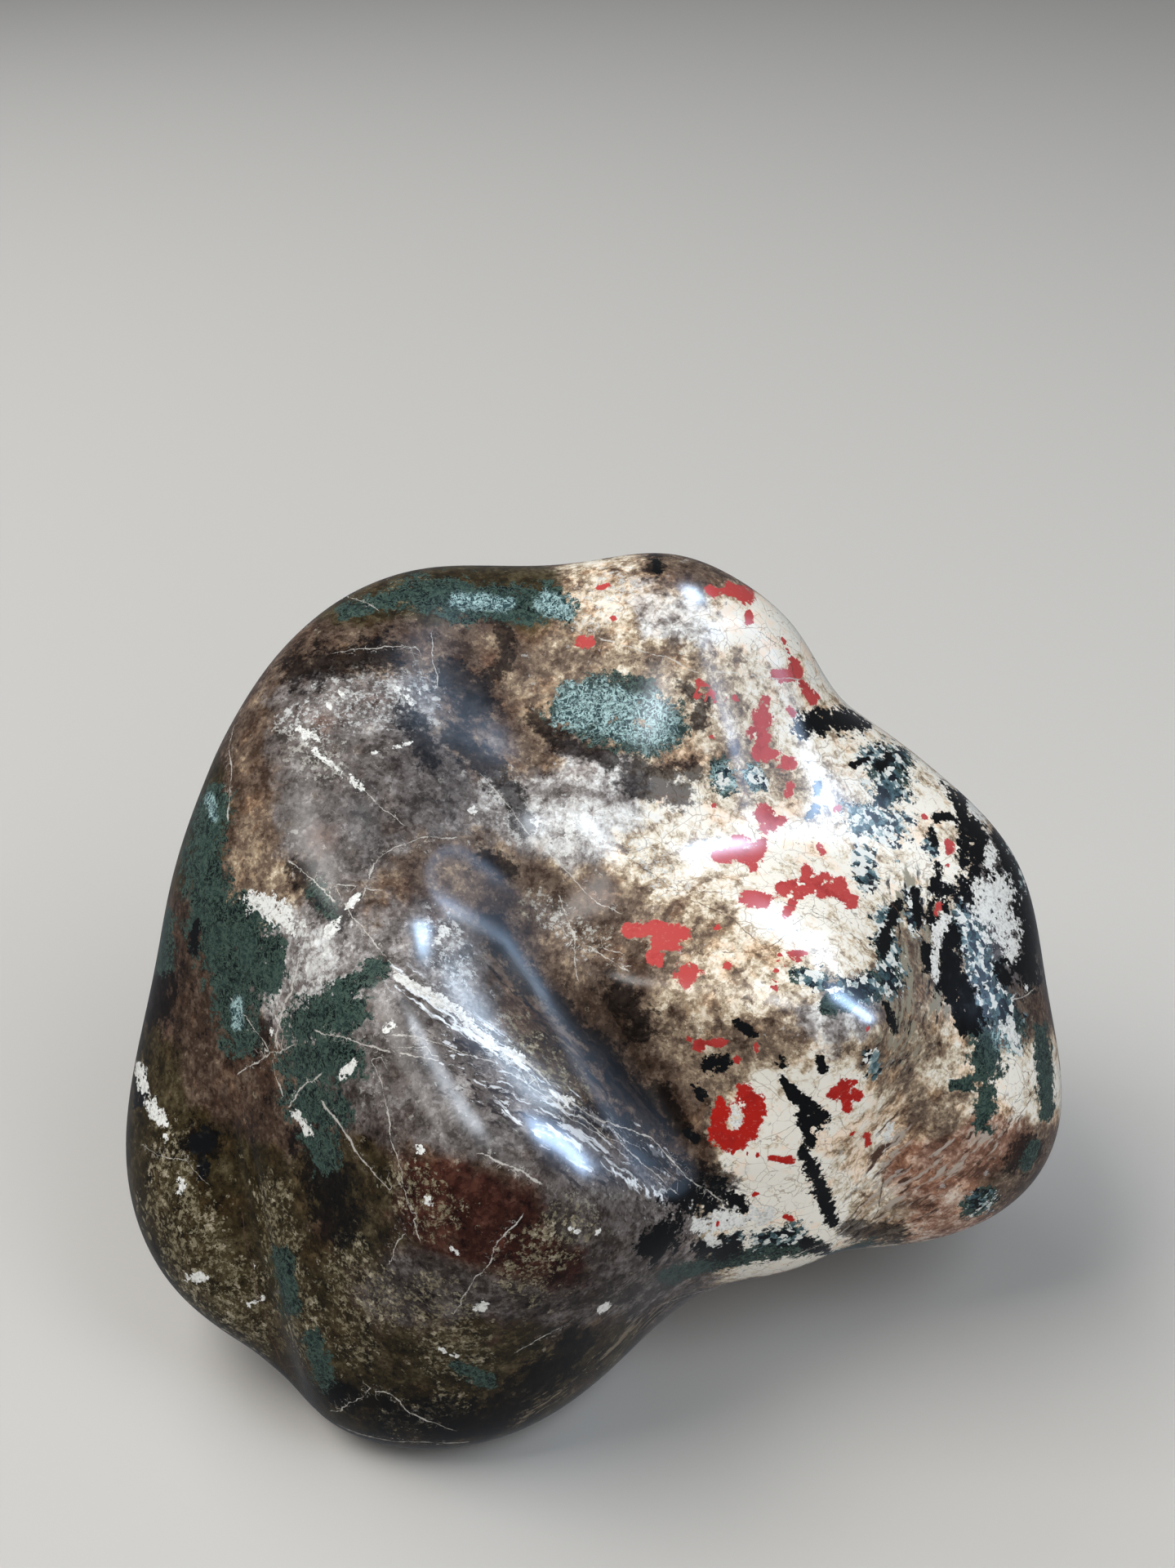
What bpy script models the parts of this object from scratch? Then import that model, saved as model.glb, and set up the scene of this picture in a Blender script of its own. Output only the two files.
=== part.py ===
"""A free-form polished jasper: one solid stone, lumpy and hand-polished, with a small flat spot under it.

The stone is one piece. Its skin is a ball whose points are drawn out to a smooth surface through named
landmarks, such as the crown, the shoulders and the foot, then pressed in along furrows and drawn up along
crests.
X is to the right, Y away from the viewer and Z up. The origin is under the middle of the stone, on the table.
"""

import bmesh
import bpy
import numpy as np

MM = 0.001

# Driving sizes, in millimetres
CORE = (0.0, 14.0, 52.0)
SKIN_CELLS = 28
LANDMARK_EASE = 0.004
FLAT_SPOT_HEIGHT = 1.2
FLAT_SPOT_ROUNDING = 1.6

# Landmarks on the surface, in millimetres: the rim of the stone as seen from the front
RIM = {
    "crown": (14, 38, 123),
    "top_flat_right": (0, 40, 119.3),
    "top_flat_left": (-29, 41, 120),
    "left_shoulder_top": (-41, 32, 119),
    "left_shoulder": (-50.5, 22, 113.5),
    "left_brow": (-57.5, 10, 104),
    "left_side_high": (-65, 5, 92),
    "left_side_middle": (-71, 0, 77),
    "left_side_low": (-78, -5, 53),
    "left_bulge_side": (-82, -10, 34),
    "left_bulge_low": (-79, -19, 25),
    "left_bulge_foot": (-71, -29, 16),
    "notch_left": (-58, -34, 11.5),
    "notch_low": (-52.5, -38, 8),
    "foot_left_toe": (-47, -45, 4),
    "crown_right": (27.5, 37, 115.5),
    "right_slope_high": (36.5, 37, 109),
    "right_saddle": (46, 36, 96),
    "right_shoulder_rise": (60, 31, 82.7),
    "right_shoulder_top": (66, 26, 79.3),
    "right_shoulder": (74, 15, 73),
    "right_end_high": (78, 5, 50),
    "right_end": (80, -5, 29),
    "right_end_low": (73, -11, 20),
    "right_keel": (51, -20, 16.5),
    "front_keel_right": (31, -30, 21),
    "front_keel_middle": (17, -35, 26),
    "front_keel_left": (7, -38, 22.5),
    "foot_right_low": (0, -40, 9),
    "foot_right_toe": (-12, -46, 4),
}

# The front and the top, which the photograph shows
FRONT = {
    "upper_left_field": (-38, 0, 107),
    "left_corner": (-47, 6, 109),
    "left_field": (-34, -17, 94),
    "left_field_right": (-20, -13, 91),
    "left_edge": (-50, -20, 82),
    "left_face_high": (-60, -11, 85),
    "left_face_low": (-67, -17, 57),
    "left_bulge": (-69, -32, 36),
    "front_crest_top": (-25, -33, 86),
    "front_crest_upper": (-15, -43, 75),
    "front_crest_middle": (-4, -51, 68),
    "front_crest_low": (15, -46, 51),
    "front_belly": (-15, -60, 58),
    "front_belly_right": (-3, -54, 41),
    "foot_front": (-22, -58, 36),
    "foot_toe": (-31, -55, 20),
    "foot_left": (-42, -49, 40),
    "front_left_edge": (-41, -43, 60),
    "groove_upper": (-13, -22, 81),
    "groove_middle": (-5, -30, 74),
    "groove_low": (4, -36, 65),
    "groove_end": (20, -39, 43),
    "upper_swell_left": (-2, -4, 98),
    "upper_swell_middle": (17, -4, 92),
    "upper_swell_right": (36, -7, 86),
    "top_dip": (-16, 16, 108),
    "crown_front": (14, 21, 117),
    "moss_hollow": (6, 12, 108),
    "third_crest_left": (3, -28, 79),
    "third_crest_middle": (20, -33, 76),
    "third_crest_right": (35, -36, 76),
    "cream_face_high": (21, -38, 58),
    "cream_face_right": (35, -38, 54),
    "cream_face_low": (35, -35, 34),
    "right_fold": (47, -28, 48),
    "right_lobe": (59, -31, 46),
    "right_lobe_end": (71, -20, 37),
    "right_panel": (60, -15, 67),
    "right_panel_high": (51, 6, 84),
}

# The back, which the photograph doesn't show: broad swells with shallow dips between them
BACK = {
    "crown_back": (10, 52, 108),
    "left_shoulder_back": (-42, 42, 98),
    "left_flank_back": (-66, 26, 70),
    "left_flank_back_low": (-68, 20, 34),
    "back_left_swell": (-42, 54, 62),
    "back_dip": (-12, 54, 78),
    "back_middle": (-8, 62, 50),
    "back_right_swell": (28, 57, 70),
    "right_flank_back": (58, 42, 60),
    "right_end_back": (72, 20, 36),
    "back_low_left": (-38, 50, 24),
    "back_low_middle": (0, 54, 20),
    "back_low_right": (36, 46, 24),
}

# The underside: a keel up to the right, and the small flat spot that the stone rests on
UNDERSIDE = {
    "under_right_lobe": (56, 4, 15),
    "under_right_back": (44, 26, 11),
    "keel_under_left": (4, -33, 7.5),
    "keel_under_middle": (13, -28, 13),
    "keel_under_right": (26, -25, 15.5),
    "under_right": (33, 4, 8),
    "under_left": (-55, 0, 7),
    "under_back": (4, 44, 10),
    "under_back_left": (-37, 32, 9),
    "flat_spot_front": (-30, -45, -1),
    "flat_spot_front_right": (-12, -37, -1),
    "flat_spot_right": (12, -4, -1),
    "flat_spot_back_right": (12, 24, -1),
    "flat_spot_back": (-14, 30, -1),
    "flat_spot_left": (-36, -6, -1),
    "flat_spot_middle": (-10, -4, -2),
}

# Narrow forms along lines on the surface. A crest has a negative depth.
CREASES = {
    "main_groove": {
        "depth": 5.0,
        "half_width": 5.5,
        "line": [(-18, -15, 88), (-13, -22, 81), (-6, -30, 74), (4, -36, 65), (12, -40, 55), (22, -39, 42)],
    },
    "left_notch": {
        "depth": 5.0,
        "half_width": 5.5,
        "line": [(-62, -23, 57), (-58, -33, 45), (-55, -39, 33), (-53, -41, 25), (-51, -42, 9)],
    },
    "right_fold": {
        "depth": 3.5,
        "half_width": 8.5,
        "line": [(48, -22, 64), (47, -28, 50), (46, -30, 40), (43, -26, 18), (40, -18, 8)],
    },
    "right_saddle_valley": {
        "depth": 3.0,
        "half_width": 9.0,
        "line": [(46, 46, 90), (44, 37, 94), (38, 24, 98), (24, 8, 102)],
    },
    "back_furrow": {
        "depth": 3.0,
        "half_width": 11.0,
        "line": [(-20, 46, 108), (-15, 55, 84), (-20, 60, 58), (-30, 54, 34)],
    },
    "back_right_furrow": {
        "depth": 3.0,
        "half_width": 10.0,
        "line": [(50, 40, 84), (46, 48, 64), (50, 44, 42), (46, 36, 18)],
    },
    "left_flank_furrow": {
        "depth": 2.5,
        "half_width": 9.0,
        "line": [(-62, 24, 92), (-70, 16, 66), (-74, 12, 42), (-70, 10, 20)],
    },
    "front_crest": {
        "depth": -1.6,
        "half_width": 10.0,
        "line": [(-30, -26, 88), (-24, -35, 86), (-14, -44, 76), (-3, -50, 68), (10, -49, 55)],
    },
    "third_crest": {
        "depth": -2.5,
        "half_width": 6.0,
        "line": [(-9, -24, 84), (3, -28, 80), (20, -33, 76), (35, -35, 75), (46, -30, 69)],
    },
}


def surface_through(landmarks):
    """The radius of the smooth surface through the landmarks, as a function of directions out of the core."""
    offsets = np.array(list(landmarks), float) - CORE
    radii = np.linalg.norm(offsets, axis=1)
    known = offsets / radii[:, None]

    def terms(directions):
        """Cubed chord lengths to each landmark's direction, with a constant and a linear part."""
        chords = np.linalg.norm(directions[:, None, :] - known[None, :, :], axis=2)
        return chords**3, np.hstack([np.ones((len(directions), 1)), directions])

    chords, plain = terms(known)
    count = len(known)
    system = np.zeros((count + 4, count + 4))
    system[:count, :count] = chords + LANDMARK_EASE * np.eye(count)
    system[:count, count:] = plain
    system[count:, :count] = plain.T
    weights = np.linalg.solve(system, np.concatenate([radii, np.zeros(4)]))

    def radius(directions):
        chords, plain = terms(directions)
        return chords @ weights[:count] + plain @ weights[count:]

    return radius


def crease_share(directions, line, half_width):
    """How much of a crease each direction takes: all on its line, less to the sides and near both ends."""
    offsets = np.array(line, float) - CORE
    scale = np.linalg.norm(offsets, axis=1).mean()
    knots = offsets / np.linalg.norm(offsets, axis=1)[:, None]
    lengths = np.linalg.norm(np.diff(knots, axis=0), axis=1)
    nearest = np.full(len(directions), np.inf)
    along = np.zeros(len(directions))
    for index, span in enumerate(np.diff(knots, axis=0)):
        share = np.clip((directions - knots[index]) @ span / lengths[index] ** 2, 0, 1)
        distance = np.linalg.norm(knots[index] + share[:, None] * span - directions, axis=1)
        closer = distance < nearest
        nearest = np.where(closer, distance, nearest)
        along = np.where(closer, lengths[:index].sum() + share * lengths[index], along)
    along /= lengths.sum()
    return np.sqrt(4 * along * (1 - along)) * np.exp(-((nearest * scale / half_width) ** 2))


def ball_directions(skin):
    """Unit vectors to the points of a subdivided cube, spread evenly over the ball."""
    points = np.array([v.co for v in skin.verts])
    evened = np.tan(points * np.pi / 4)
    return evened / np.linalg.norm(evened, axis=1)[:, None]


def flatten_foot(heights):
    """Presses what is below the flat spot onto the table, with a small round where it meets the sides."""
    above = heights - FLAT_SPOT_HEIGHT
    rounded = (above + FLAT_SPOT_ROUNDING) ** 2 / (4 * FLAT_SPOT_ROUNDING)
    eased = np.where(above > FLAT_SPOT_ROUNDING, above, rounded)
    return np.where(above < -FLAT_SPOT_ROUNDING, 0.0, eased)


def build_stone(collection):
    """The stone as one closed mesh."""
    skin = bmesh.new()
    bmesh.ops.create_cube(skin, size=2.0)
    bmesh.ops.subdivide_edges(skin, edges=skin.edges[:], cuts=SKIN_CELLS - 1, use_grid_fill=True)
    directions = ball_directions(skin)
    landmarks = [*RIM.values(), *FRONT.values(), *BACK.values(), *UNDERSIDE.values()]
    radii = surface_through(landmarks)(directions)
    for crease in CREASES.values():
        radii -= crease["depth"] * crease_share(directions, crease["line"], crease["half_width"])
    points = np.array(CORE) + directions * radii[:, None]
    points[:, 2] = flatten_foot(points[:, 2])
    middle = (points.min(axis=0) + points.max(axis=0)) / 2
    points[:, :2] -= middle[:2]
    for vertex, point in zip(skin.verts, points):
        vertex.co = point * MM
    bmesh.ops.recalc_face_normals(skin, faces=skin.faces[:])
    mesh = bpy.data.meshes.new("jasper_stone")
    skin.to_mesh(mesh)
    skin.free()
    mesh.shade_smooth()
    stone = bpy.data.objects.new("jasper_stone", mesh)
    collection.objects.link(stone)
    return stone


def polished_jasper():
    """Dark brown-grey jasper with a glassy polish."""
    material = bpy.data.materials.new("polished_jasper")
    material.use_nodes = True
    shader = material.node_tree.nodes["Principled BSDF"]
    shader.inputs["Base Color"].default_value = (0.16, 0.12, 0.10, 1.0)
    shader.inputs["Roughness"].default_value = 0.12
    shader.inputs["Metallic"].default_value = 0.0
    return material


def main():
    for old in list(bpy.data.objects):
        bpy.data.objects.remove(old)
    collection = bpy.data.collections.new("polished_jasper")
    bpy.context.scene.collection.children.link(collection)
    stone = build_stone(collection)
    stone.data.materials.append(polished_jasper())


main()
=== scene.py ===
"""The looks of the polished jasper: a fine skin over the built stone, its mineral patterns, light and camera.

Every marking that the photograph shows is a spot or stroke listed here. Its points are given in pixels of the
photograph, and a ray from the camera carries each one onto the stone. The hidden sides get scattered marks of
the same kinds. The shader then breaks each outline up with noise.
"""

import math

import bmesh
import bpy
import numpy as np
from mathutils import Matrix, Vector
from mathutils.bvhtree import BVHTree

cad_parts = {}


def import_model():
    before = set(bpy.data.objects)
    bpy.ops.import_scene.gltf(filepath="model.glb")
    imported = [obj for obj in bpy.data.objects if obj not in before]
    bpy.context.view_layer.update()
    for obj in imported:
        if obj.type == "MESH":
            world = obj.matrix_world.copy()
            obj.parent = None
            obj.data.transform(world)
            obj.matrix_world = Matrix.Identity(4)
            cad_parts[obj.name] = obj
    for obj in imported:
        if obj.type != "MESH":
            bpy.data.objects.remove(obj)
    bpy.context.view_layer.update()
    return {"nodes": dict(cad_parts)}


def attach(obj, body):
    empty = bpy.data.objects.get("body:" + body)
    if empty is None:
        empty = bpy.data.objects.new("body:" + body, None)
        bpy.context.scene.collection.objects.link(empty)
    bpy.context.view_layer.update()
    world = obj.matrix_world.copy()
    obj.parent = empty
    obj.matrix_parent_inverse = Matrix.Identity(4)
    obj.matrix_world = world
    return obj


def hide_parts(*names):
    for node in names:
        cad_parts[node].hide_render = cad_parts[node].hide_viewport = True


MM = 0.001

# The photograph and the camera that took it
PHOTO_WIDTH, PHOTO_HEIGHT = 1439, 1920
FOCAL_PIXELS = 2400.0
SENSOR_MM = 36.0
CLIP_START = 0.01
CAMERA_PITCH = math.radians(30.0)
CAMERA_ROLL = math.radians(1.5)
CAMERA_PLACE = Vector((0.0, -0.272, 0.2539))
PIXELS_PER_MM = 7.2

# The middle of the stone, in metres
MIDDLE = (0.0, 0.0, 0.06)

# The skin: how it is rounded, the cosines to the camera at which a spot is seen well or is hidden, and the
# least share of its true distance that a spot may seem to be from a stroke
SKIN_LEVELS = 2
MERGE_METRES = 1e-6
JOIN_SHAPE_ANGLE = math.radians(50)
SEEN_FACING = 0.15
HIDDEN_FACING = -0.12
LEAST_SHARE = 0.25

# The painted fields: the value far outside every stroke, the largest distance kept, how far a ground stroke
# reaches, the paleness where none does, a weight too small to show, and a length taken for none
FAR_OUTSIDE = -3.0
FAR_AWAY_MM = 99
GROUND_REACH_MM = 6.0
PLAIN_PALENESS = 0.35
TINY = 1e-6
NO_LENGTH = 1e-9

SEED = 11
# Where the hidden sides are pale and where they are dark, in millimetres
PALE_FROM_X = -5
PALE_FROM_Z = 12
DARK_TO_X = 10

# Ground colour along strokes, by family: (paleness from 0 to 1, points of the photograph)
GROUND = {
    "cool": [
        # Painted soft reflections: the strokes on the upper field, crown, upper swell, third crest and crest
        (0.42, [(380, 860), (500, 850)]), (0.32, [(360, 930), (520, 960)]),
        (0.34, [(370, 1020), (470, 1050)]), (0.60, [(800, 750), (870, 770)]),
        (0.56, [(690, 960), (760, 1000)]), (0.58, [(640, 980), (700, 1040)]),
        (0.54, [(980, 1240), (1040, 1230)]), (0.22, [(1240, 1080), (1250, 1180)]),
        (0.42, [(520, 1130), (560, 1200)]), (0.32, [(440, 1320), (520, 1340)]),
        (0.36, [(560, 1340), (640, 1390)]), (0.34, [(700, 1420), (790, 1480)]),
        (0.21, [(480, 1560), (540, 1600)]), (0.24, [(700, 1500), (760, 1560)]),
        (0.19, [(620, 1600), (700, 1600)]), (0.54, [(380, 1160), (380, 1210)]),
    ],
    "warm": [
        (0.34, [(480, 1060), (560, 1090)]), (0.28, [(330, 790), (460, 800), (560, 800)]),
        (0.42, [(600, 790), (680, 830)]), (0.33, [(600, 900), (650, 930)]),
        (0.62, [(730, 715), (760, 770)]), (0.46, [(700, 800), (740, 810)]),
        (0.98, [(890, 765), (930, 770), (965, 800)]), (0.32, [(840, 690), (880, 710)]),
        (0.50, [(780, 815), (960, 825)]), (0.58, [(850, 850), (900, 880)]),
        (0.50, [(870, 900), (900, 920)]), (0.70, [(960, 870), (990, 910), (1060, 910)]),
        (0.62, [(930, 960), (1030, 970)]), (0.70, [(830, 1000), (900, 1010)]),
        (0.68, [(780, 1050), (860, 1080)]), (0.80, [(960, 1040), (1010, 1060)]),
        (0.74, [(1060, 980), (1130, 980)]), (0.74, [(1080, 1070), (1110, 1050)]),
        (0.70, [(1150, 1040), (1150, 1060)]), (0.82, [(930, 1130), (1040, 1150)]),
        (0.50, [(860, 1110), (900, 1150)]), (0.32, [(660, 1080), (760, 1110)]),
        (0.30, [(700, 1150), (770, 1165)]), (0.48, [(650, 1155), (690, 1168)]),
        (0.60, [(900, 1190), (1000, 1180)]), (0.56, [(850, 1240), (960, 1230)]),
        (0.46, [(830, 1290), (950, 1275)]), (0.16, [(620, 1130), (690, 1230), (760, 1310)]),
        (0.22, [(780, 1350), (860, 1420)]), (0.84, [(950, 1350), (1040, 1350)]),
        (0.86, [(900, 1430), (980, 1420)]), (1.05, [(945, 1465), (1000, 1480)]),
        (0.66, [(1030, 1420), (1060, 1380)]), (0.52, [(1050, 1480), (1090, 1500)]),
        (0.44, [(1080, 1300), (1110, 1280)]), (0.36, [(1120, 1230), (1110, 1180)]),
        (0.62, [(1150, 1220), (1160, 1300)]), (0.46, [(1110, 1350), (1150, 1370)]),
        (0.80, [(1238, 1340), (1258, 1310)]), (0.26, [(1250, 1420), (1230, 1450)]),
        (0.26, [(1240, 1225), (1255, 1240)]), (0.20, [(230, 1180), (240, 1260)]),
        (0.24, [(260, 1320), (330, 1370)]), (0.46, [(320, 1040), (335, 1080)]),
        (0.32, [(290, 900), (300, 960)]),
    ],
    "pink": [
        (0.52, [(1120, 1430), (1230, 1400)]), (0.58, [(1130, 1490), (1190, 1480)]),
    ],
    "maroon": [
        (0.22, [(530, 1480), (620, 1490)]), (0.18, [(640, 1530), (690, 1550)]),
    ],
    "olive": [
        (0.17, [(430, 1460), (450, 1520)]), (0.19, [(520, 1660), (620, 1640)]),
        (0.21, [(640, 1700), (720, 1650)]), (0.21, [(340, 1540), (380, 1640)]),
        (0.12, [(420, 1720), (520, 1740)]), (0.21, [(200, 1480), (260, 1560)]),
        (0.16, [(230, 1400), (310, 1430)]), (0.21, [(190, 1300), (170, 1400)]),
        (0.21, [(250, 950), (240, 1020)]), (0.24, [(430, 740), (500, 720), (640, 730)]),
    ],
}

# Ground colour of the hidden sides, by family: (paleness, points on the stone in millimetres)
HIDDEN_GROUND = {
    "olive": [
        (0.26, [(-60, 20, 90), (-70, 15, 60), (-74, 8, 36)]), (0.26, [(-45, 44, 28), (-30, 40, 12)]),
        (0.24, [(-20, 0, 0), (-40, -10, 4), (0, 20, 0)]),
    ],
    "warm": [
        (0.30, [(-55, 38, 80), (-58, 36, 50)]), (0.44, [(-10, 55, 95), (-8, 60, 70)]),
        (0.66, [(14, 50, 110), (20, 57, 85)]), (0.76, [(28, 57, 66), (38, 50, 40)]),
        (0.56, [(20, 50, 30), (36, 40, 20)]), (0.70, [(52, 42, 72), (60, 38, 48)]),
        (0.60, [(76, 12, 52), (72, 22, 60)]), (0.36, [(30, 10, 8), (50, 5, 10), (20, -20, 12)]),
    ],
    "cool": [
        (0.34, [(-40, 50, 90), (-30, 56, 60)]), (0.40, [(-10, 60, 45), (0, 52, 20)]),
    ],
    "pink": [
        (0.44, [(60, 30, 24), (70, 18, 22)]),
    ],
}

# Strokes of each mineral: (radius in pixels of the photograph, points of the photograph). Dots are
# (px, py, radius).
RED = [
    (5, [(868, 722), (875, 727)]), (8, [(893, 721), (905, 724), (916, 731)]), (5, [(917, 752), (916, 762)]),
    (3, [(733, 720), (746, 716)]), (7, [(712, 788), (722, 787)]), (6, [(973, 810), (976, 822)]),
    (7, [(949, 826), (964, 827), (975, 824)]), (6, [(984, 838), (991, 848), (997, 857)]), (6, [(938, 855)]),
    (7, [(936, 868)]), (11, [(930, 882), (936, 884)]), (7, [(923, 892), (920, 896)]),
    (9, [(938, 902), (932, 910)]), (9, [(930, 917), (936, 922)]), (5, [(945, 925), (951, 924)]),
    (8, [(962, 936), (968, 935)]), (5, [(967, 960), (967, 972)]), (4, [(966, 866), (971, 874)]),
    (11, [(934, 998), (940, 1008)]), (6, [(950, 1006), (957, 1004)]), (10, [(905, 1030), (901, 1042)]),
    (7, [(890, 1049), (879, 1050)]), (10, [(917, 1048), (924, 1046)]), (6, [(933, 1032), (934, 1042)]),
    (6, [(922, 1061)]), (7, [(987, 1064), (986, 1076)]), (8, [(956, 1089), (968, 1084)]),
    (7, [(978, 1096), (990, 1086), (1002, 1078)]), (8, [(1008, 1090), (1022, 1088)]),
    (8, [(1030, 1082), (1034, 1096), (1043, 1102)]), (6, [(1012, 1074)]),
    (5, [(970, 1106), (966, 1114), (962, 1120)]), (10, [(920, 1099), (933, 1105)]),
    (4, [(1003, 1036), (1008, 1043)]), (4, [(1023, 992), (1027, 988)]), (5, [(1162, 1031), (1163, 1042)]),
    (4, [(1150, 1108), (1147, 1118)]), (9, [(770, 1141), (800, 1137), (836, 1142)]),
    (10, [(806, 1150), (822, 1153)]), (8, [(800, 1168), (803, 1176)]), (13, [(838, 1194), (843, 1196)]),
    (6, [(849, 1186)]), (4, [(968, 1168), (986, 1168)]), (7, [(856, 1280)]),
    (5, [(868, 1278), (891, 1275)]), (4, [(925, 1286), (927, 1280)]), (6, [(902, 1298)]),
    (8, [(1020, 1339), (1036, 1331)]), (7, [(1050, 1341)]), (6, [(1036, 1344), (1038, 1358)]),
    (4, [(944, 1418), (970, 1420)]), (5, [(1062, 1390), (1064, 1400)]), (3, [(970, 1492), (960, 1489)]),
    (12, [(912, 1338), (921, 1350), (925, 1366), (919, 1384)]),
    (11, [(902, 1394), (887, 1395), (881, 1383)]), (9, [(884, 1352), (881, 1368)]),
]
RED_DOTS = [
    (751, 757, 4), (960, 785, 5), (966, 799, 3), (1001, 852, 5), (857, 836, 5), (853, 853, 4),
    (872, 849, 4), (875, 859, 3), (866, 840, 3), (901, 855, 4), (872, 902, 3), (875, 986, 3),
    (1132, 1000, 5), (1160, 1060, 3), (891, 1182, 5), (878, 1136, 4), (977, 1175, 4), (955, 1169, 3),
    (950, 1188, 3), (948, 1210, 4), (844, 1272, 4), (1046, 1326, 5), (928, 1414, 3), (898, 1411, 3),
    (1044, 1388, 4), (878, 1499, 4), (925, 1462, 4), (1063, 1260, 3),
]
TEAL = [
    (20, [(520, 728), (560, 735), (600, 738), (650, 742)]), (17, [(668, 735), (688, 748)]),
    (12, [(478, 735), (500, 722)]), (10, [(425, 748), (455, 740)]), (14, [(884, 948), (890, 960)]),
    (11, [(926, 950), (928, 958)]), (16, [(335, 1160), (332, 1205)]), (12, [(386, 1090), (404, 1112)]),
    (24, [(372, 1255), (425, 1235)]), (28, [(372, 1300), (415, 1292)]), (24, [(372, 1345), (402, 1362)]),
    (15, [(386, 1392), (400, 1420)]), (14, [(420, 1215), (462, 1184)]), (9, [(978, 1194), (1005, 1200)]),
    (13, [(1018, 1226), (1052, 1212)]), (9, [(815, 1562), (880, 1546), (940, 1532), (1000, 1526)]),
    (12, [(970, 1512), (950, 1518)]), (12, [(345, 1540), (356, 1600)]), (11, [(385, 1640), (398, 1690)]),
    (8, [(560, 1672), (600, 1692)]), (12, [(200, 1120), (196, 1180)]), (19, [(1083, 938), (1090, 960)]),
    (12, [(1070, 925), (1102, 930)]), (9, [(1084, 978)]), (15, [(1056, 1002), (1088, 1010)]),
    (10, [(1058, 1050), (1063, 1078)]), (6, [(1140, 1030), (1142, 1042)]),
    (17, [(1186, 1122), (1195, 1160), (1207, 1200)]), (16, [(1200, 1238), (1222, 1222), (1232, 1244)]),
    (19, [(1206, 1268), (1205, 1312)]), (12, [(1210, 1338), (1204, 1376)]),
    (14, [(1238, 1252), (1240, 1275)]), (7, [(1168, 1328), (1186, 1330)]),
    (9, [(1274, 1262), (1281, 1320), (1281, 1362)]), (8, [(1268, 1405), (1256, 1426)]),
    (12, [(1188, 1478), (1208, 1466)]), (9, [(1086, 1126), (1082, 1146)]),
    (12, [(1085, 1168), (1092, 1200)]), (15, [(1040, 1216), (1064, 1208)]),
    (16, [(686, 872), (700, 852), (740, 842), (790, 846)]),
    (18, [(705, 876), (740, 868), (790, 872), (818, 878)]),
    (17, [(716, 892), (760, 900), (800, 908), (822, 896)]), (20, [(262, 985), (250, 1040)]),
    (26, [(250, 1060), (262, 1120)]), (30, [(262, 1130), (282, 1190)]), (26, [(296, 1120), (312, 1190)]),
    (24, [(288, 1210), (296, 1268)]),
]
BLACK = [
    (6, [(1062, 888)]), (4, [(1004, 955), (999, 985), (990, 1004)]), (6, [(1001, 990)]),
    (6, [(1088, 926), (1078, 940)]), (4, [(1044, 936), (1062, 930)]),
    (7, [(1098, 1108), (1088, 1135), (1080, 1165)]), (5, [(1120, 1092), (1125, 1130)]),
    (5, [(1085, 1230), (1095, 1262)]), (4, [(955, 1318), (972, 1338), (984, 1360)]),
    (8, [(970, 1335), (982, 1352), (990, 1385)]), (13, [(990, 1358), (1002, 1370)]),
    (6, [(990, 1382), (995, 1402)]), (11, [(868, 1302), (886, 1300)]), (5, [(850, 1330), (860, 1342)]),
    (6, [(840, 1385), (852, 1396)]), (8, [(957, 1294), (957, 1300)]), (5, [(1003, 1295), (1008, 1310)]),
    (6, [(904, 1254), (920, 1264)]), (20, [(832, 1460), (872, 1462)]), (17, [(818, 1508), (800, 1530)]),
    (9, [(900, 1472), (915, 1482)]), (8, [(988, 1524), (1012, 1530)]), (6, [(240, 1130), (238, 1165)]),
    (8, [(166, 1295), (174, 1350)]), (13, [(243, 1402), (256, 1392)]), (7, [(250, 1428), (246, 1440)]),
    (7, [(775, 1412), (800, 1424)]), (6, [(804, 690), (806, 700)]),
    (10, [(1163, 955), (1178, 985), (1180, 1020), (1184, 1060)]),
    (12, [(1195, 1010), (1200, 1040), (1192, 1080)]), (12, [(1225, 1020), (1235, 1060), (1243, 1100)]),
    (9, [(1212, 990), (1222, 1010)]), (8, [(1215, 1072), (1222, 1080)]),
    (13, [(1252, 1110), (1258, 1160), (1263, 1200)]), (7, [(1148, 1003), (1160, 999), (1172, 1004)]),
    (6, [(1140, 1020), (1143, 1032)]), (7, [(1150, 1062), (1145, 1085)]),
    (8, [(1148, 1092), (1165, 1092), (1172, 1098)]), (8, [(1142, 1108), (1145, 1140)]),
    (6, [(1158, 1105), (1160, 1118)]), (11, [(1183, 1080), (1190, 1105)]),
    (16, [(1162, 1145), (1163, 1180), (1166, 1215)]), (15, [(1175, 1200), (1185, 1235), (1190, 1252)]),
    (10, [(1172, 1245), (1180, 1258)]), (7, [(1134, 1160), (1138, 1185)]),
    (9, [(1225, 1180), (1232, 1200)]), (8, [(1242, 1165), (1246, 1185)]),
    (15, [(988, 886), (1016, 883), (1046, 883)]), (18, [(818, 1505), (800, 1528)]),
    (10, [(994, 1432), (1006, 1458), (1018, 1492)]), (7, [(985, 1412), (996, 1432)]),
    (13, [(860, 1530), (900, 1528)]),
]
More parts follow.
